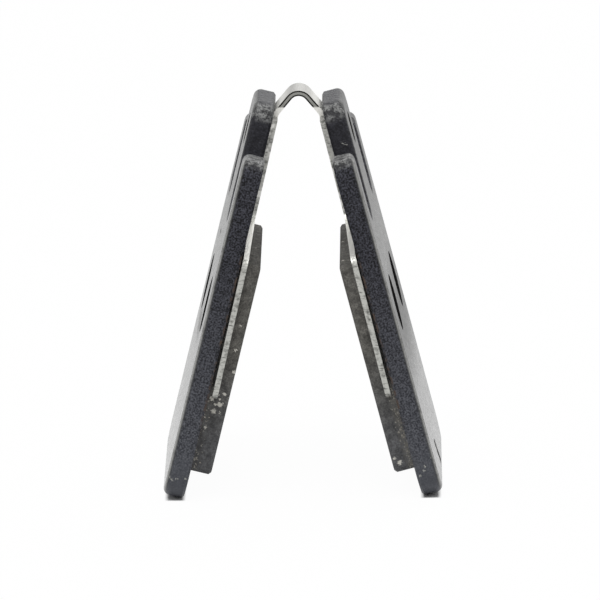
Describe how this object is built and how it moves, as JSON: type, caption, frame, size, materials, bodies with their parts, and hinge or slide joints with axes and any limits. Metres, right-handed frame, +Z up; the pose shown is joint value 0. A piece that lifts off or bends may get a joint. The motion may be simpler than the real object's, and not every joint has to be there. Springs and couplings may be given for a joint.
{
  "type": "bicycle disc brake pad set",
  "caption": "Disc brake pads with eared steel backing plates and bonded friction blocks, held apart by an arched, forked leaf spring.",
  "frame": {"origin": "on the ground below the middle of the spring's arch, midway between the pads", "axes": "+Z up from the pads' bottom edges to the arch, X from pad to pad, Y across the pads"},
  "size_m": [0.0232, 0.024, 0.0329],
  "materials": {
    "coated_plate": "satin black coat, pebbled on the cut edges",
    "friction_compound": "matte moulded compound with metal flecks",
    "spring_steel": "bright rolled faces with matte sheared edges"
  },
  "bodies": {
    "root": {"left_backing_plate": "coated_plate", "right_backing_plate": "coated_plate", "left_friction_block": "friction_compound", "right_friction_block": "friction_compound", "return_spring": "spring_steel"}
  },
  "joints": []
}
